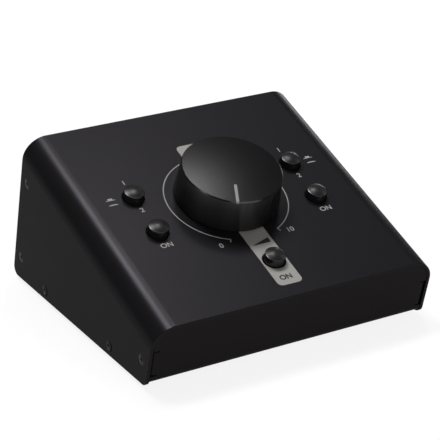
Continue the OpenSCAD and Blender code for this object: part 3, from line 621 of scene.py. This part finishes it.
spring_wire = metal("spring steel wire", "#cfcfcb", 0.25, 0.35, 1500.0)
buttons = {"input": (-43.2, 82.8), "dim": (-43.2, 57.5), "mute": (43.2, 57.5),
           "monitor": (43.2, 82.8), "mono": (0, mono_v)}
for name, (u, v) in buttons.items():
    cap_place = top_place @ Matrix.Translation((u * mm, v * mm, 0))
    cap = turned(name + "_cap_shell", cap_rings, 96, cap_plastic, cap_place)
    cap.data.materials.append(cap_side_plastic)
    for face in cap.data.polygons:
        spot = cap_place.inverted() @ face.center
        face.material_index = int(spot.xy.length > cap_rim * mm and spot.z < cap_h * mm)
    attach(cap, name + "_cap")
    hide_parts(name + "_button")
    dress(name + "_plunger", plunger_plastic)
    dress(name + "_switch", switch_plastic)
    dress(name + "_spring", spring_wire)

# ---- Boards -----------------------------------------------------------------------------
# Two bare glass-epoxy boards with green lacquer: one hangs on four standoffs under the cover, the
# other carries the jacks. A ribbon cable joins them.
lacquer = moulded("green solder lacquer", "#2f5a3c", 0.3, 0.4, 1.2, 0.01)
dress("control_board", lacquer)
dress("jack_board", lacquer)
dress("board_standoffs", metal("extruded aluminium", "#b5b5b0", 0.3, 0.45, 900.0))
dress("board_screws", metal("zinc-plated screw steel", "#8d8d88", 0.3, 0.45, 900.0))
dress("ribbon_sockets", moulded("black glass-filled nylon", "#1d1d1f", 0.45, 0.6, 0.5, 0.01))
dress("ribbon_cable", moulded("grey PVC ribbon", "#8b8f96", 0.4, 0.55, 0.9, 0.01))

# ---- Jack sockets -----------------------------------------------------------------------
# Eight 6.35 mm sockets in black nylon. Each has a threaded nose through the rear face, held by a
# washer and a hexagon nut in nickel plate.
jack_plastic = moulded("black nylon", "#1e1e20", 0.35, 0.5, 0.5, 0.01)
jack_xs, jack_rows = (-45, -15, 15, 45), (22, 50)
nose_len, seat, bore_r, nose_r = 4.4, -1.7, 3.2, 4.75
rear_place = (Matrix.Translation(rear_foot * mm) @ Matrix.Rotation(pi, 4, "Z")
              @ Matrix.Rotation(radians(75), 4, "X"))
places = [rear_place @ Matrix.Translation((x * mm, t * mm, 0)) for t in jack_rows for x in jack_xs]
body_w, body_len, body_bevel = 15.5, 26.0, 1.5


def boxed(height):
    """A ring with the outline of the jack's square body with bevelled corners."""
    def ring(a):
        c, s = abs(cos(a)), abs(sin(a))
        return min(body_w / 2 / max(c, s), (body_w - body_bevel) / (c + s)), height
    return ring


thread_pitch, thread_depth, thread_z0 = 0.75, 0.35, 0.9
thread = []
z = nose_len - 0.35
while z > thread_z0:
    thread += [(nose_r - thread_depth, z), (nose_r, z - thread_pitch / 2)]
    z -= thread_pitch
mouth, bore_len, short = 0.4, 29.6, 0.01
# the bore ends in a cone whose tip meets the middle of the body's back
jack_rings = [(bore_r + mouth, nose_len), (nose_r - mouth, nose_len)] + thread + [
    (nose_r, 0.5), (nose_r, seat), boxed(seat), boxed(seat - body_len), (0, seat - body_len),
    (bore_r, nose_len - mouth - bore_len + short), (bore_r, nose_len - mouth)]
jack_nodes = [f"{use}_{pair}_{side}_jack"
              for use in ("input", "monitor") for pair in "ab" for side in ("left", "right")]
jack = turned("jack_socket", jack_rings, 96, jack_plastic)
repeated("jack_sockets", jack, places, "housing", *jack_nodes)

# the rear face lies 0.1 mm behind the cover's edges; the washer lies on it, the nut on that
inset, washer_t, nut_z, nut_t, nut_af, thread_room, eased = 0.1, 0.6, 0.6, 2.4, 12.7, 0.03, 0.98
nut_round = nut_af / 2 * eased


def hexagon(height, corner):
    """A ring on the nut's outline, eased at the corners as the bevel cuts them."""
    def ring(a):
        flat = nut_af / 2 / cos((a + pi / 6) % (pi / 3) - pi / 6)
        drop = max(0, flat - nut_round) * tan(radians(30))
        return flat, height - corner * drop
    return ring


nut_top = nut_z - inset + nut_t
nut = turned("jack_nut", [
    (nose_r + thread_room, nut_z - inset), (nut_round, nut_z - inset), hexagon(nut_z - inset, -1),
    hexagon(nut_top, 1), (nut_round, nut_top), (nose_r + 0.3, nut_top),
    (nose_r + thread_room, nut_top - 0.25)], 96, nickel)
repeated("jack_hex_nuts", nut, places, "housing", "jack_nuts")
washer_in, washer_flat, washer_out, washer_edge = 4.97, 7.45, 7.53, 0.1
washer = turned("jack_washer", [
    (washer_in, -inset), (washer_flat, -inset), (washer_out, -inset + washer_edge),
    (washer_out, washer_t - inset - washer_edge), (washer_flat, washer_t - inset),
    (washer_in, washer_t - inset)], 96, nickel)
repeated("jack_flat_washers", washer, places, "housing", "jack_washers")

# ---- Feet -------------------------------------------------------------------------------
# Four round feet in black rubber glued under the floor, slightly bevelled where they meet the
# table, so the housing doesn't slide when a button is pressed.
rubber = moulded("black rubber", "#171717", 0.7, 0.85, 0.6, 0.03)
foot_r, foot_bevel_r, foot_flat_r, foot_h = 6.5, 6.15, 5.6, 3.2
foot_xs, foot_ys = (-56, 56), (-48.398, 56.895)
foot = turned("rubber_foot", [(0, 0), (foot_flat_r, 0), (foot_bevel_r, 0.2), (foot_r, 0.6),
                              (foot_r, foot_h), (0, foot_h)], 64, rubber)
places = [Matrix.Translation((x * mm, y * mm, 0)) for x in foot_xs for y in foot_ys]
repeated("round_feet", foot, places, "housing", "rubber_feet")
